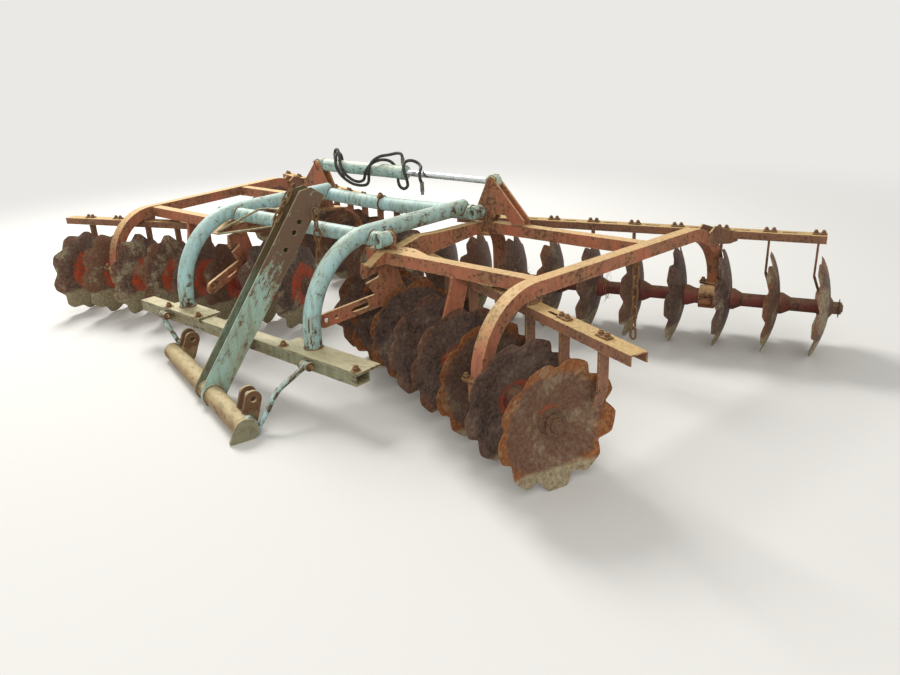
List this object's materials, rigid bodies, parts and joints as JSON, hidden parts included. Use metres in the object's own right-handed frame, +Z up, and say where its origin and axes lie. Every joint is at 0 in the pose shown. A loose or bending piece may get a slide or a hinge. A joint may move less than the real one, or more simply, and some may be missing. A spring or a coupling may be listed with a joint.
{
  "type": "folding disc harrow",
  "caption": "Mounted tandem disc harrow with two folding wings, notched disc gangs, scrapers, a fold cylinder and a tipping three-point headstock.",
  "frame": {"origin": "on the ground under the middle of the whole harrow's box", "axes": "+X across the harrow to its own left (the picture's right-hand, near wing), +Y to the rear away from the tractor, +Z up"},
  "size_m": [4.567, 2.5872, 0.969],
  "materials": {
    "centre_paint": "pale turquoise paint, chipped to dark rust along the edges",
    "bar_paint": "cream over blue-green paint, worn to bare rust on the front face",
    "headstock_rust": "thin tan rust with remains of dark blue paint",
    "mast_paint": "turquoise paint low down, rust-brown above",
    "wing_paint": "orange-red paint gone to even orange rust",
    "scraper_rust": "brown rust",
    "disc_steel": "rust-brown steel with dry mud",
    "spool_iron": "dark red paint, dusty",
    "shaft_steel": "rusty bare steel",
    "chain_rust": "rusty bare steel",
    "barrel_paint": "pale cream and turquoise paint, chipped",
    "rod_chrome": "bright hard chrome",
    "hose_rubber": "black hose rubber, dusty",
    "coupler_steel": "dull plated steel"
  },
  "bodies": {
    "centre_frame": {"left_main_tube": "centre_paint", "right_main_tube": "centre_paint", "front_cross_tube": "centre_paint", "rear_cross_tube": "centre_paint", "lower_cross_bar": "bar_paint", "drag_links": "centre_paint"},
    "headstock": {"headstock_tube": "headstock_rust", "mast": "mast_paint", "mast_chain": "chain_rust"},
    "left_wing": {"left_arch": "wing_paint", "left_front_beam": "wing_paint", "left_rear_beam": "wing_paint", "left_inner_beam": "wing_paint", "left_ram_bracket": "wing_paint", "left_front_hangers": "wing_paint", "left_rear_hangers": "wing_paint", "left_front_scrapers": "scraper_rust", "left_rear_scrapers": "scraper_rust"},
    "right_wing": {"right_arch": "wing_paint", "right_front_beam": "wing_paint", "right_rear_beam": "wing_paint", "right_inner_beam": "wing_paint", "right_ram_bracket": "wing_paint", "right_front_hangers": "wing_paint", "right_rear_hangers": "wing_paint", "right_front_scrapers": "scraper_rust", "right_rear_scrapers": "scraper_rust", "arch_chain": "chain_rust"},
    "left_front_gang": {"left_front_discs": "disc_steel", "left_front_spools": "spool_iron", "left_front_shaft": "shaft_steel"},
    "left_rear_gang": {"left_rear_discs": "disc_steel", "left_rear_spools": "spool_iron", "left_rear_shaft": "shaft_steel"},
    "right_front_gang": {"right_front_discs": "disc_steel", "right_front_spools": "spool_iron", "right_front_shaft": "shaft_steel"},
    "right_rear_gang": {"right_rear_discs": "disc_steel", "right_rear_spools": "spool_iron", "right_rear_shaft": "shaft_steel"},
    "ram_barrel": {"ram_barrel": "barrel_paint", "ram_hoses": "hose_rubber", "hose_couplers": "coupler_steel"},
    "ram_rod": {"ram_rod": "rod_chrome"}
  },
  "joints": [
    {"name": "left_fold", "type": "hinge", "parent": "centre_frame", "child": "left_wing", "pos_m": [-0.633, 0, 0.7], "axis": [0, 1, 0], "range_deg": [0, 85]},
    {"name": "right_fold", "type": "hinge", "parent": "centre_frame", "child": "right_wing", "pos_m": [0.633, 0, 0.7], "axis": [0, -1, 0], "range_deg": [0, 85]},
    {"name": "headstock_tip", "type": "hinge", "parent": "centre_frame", "child": "headstock", "pos_m": [0.033, -1.06314, 0.047], "axis": [0.9636, -0.2672, 0], "range_deg": [0, 35]},
    {"name": "barrel_pivot", "type": "hinge", "parent": "left_wing", "child": "ram_barrel", "pos_m": [-0.7, 0.3839, 0.856], "axis": [0, 1, 0], "range_deg": [-85, 0]},
    {"name": "rod_slide", "type": "slide", "parent": "ram_barrel", "child": "ram_rod", "axis": [1, 0, 0], "range_m": [-0.4331, 0]},
    {"name": "left_front_gang_spin", "type": "hinge", "parent": "left_wing", "child": "left_front_gang", "pos_m": [-1.784, -0.72314, 0.255], "axis": [0.9336, 0.3584, 0], "continuous": true},
    {"name": "left_rear_gang_spin", "type": "hinge", "parent": "left_wing", "child": "left_rear_gang", "pos_m": [-2.223, 1.06586, 0.255], "axis": [0.9627, -0.2706, 0], "continuous": true},
    {"name": "right_front_gang_spin", "type": "hinge", "parent": "right_wing", "child": "right_front_gang", "pos_m": [1.784, -0.72314, 0.255], "axis": [0.9336, -0.3584, 0], "continuous": true},
    {"name": "right_rear_gang_spin", "type": "hinge", "parent": "right_wing", "child": "right_rear_gang", "pos_m": [2.223, 1.06586, 0.255], "axis": [0.9627, 0.2706, 0], "continuous": true}
  ],
  "couplings": [
    {"joint": "right_fold", "follows": "left_fold", "ratio": 1},
    {"joint": "barrel_pivot", "follows": "left_fold", "ratio": -1},
    {"joint": "rod_slide", "follows": "left_fold", "m_per_rad": -0.2919}
  ]
}
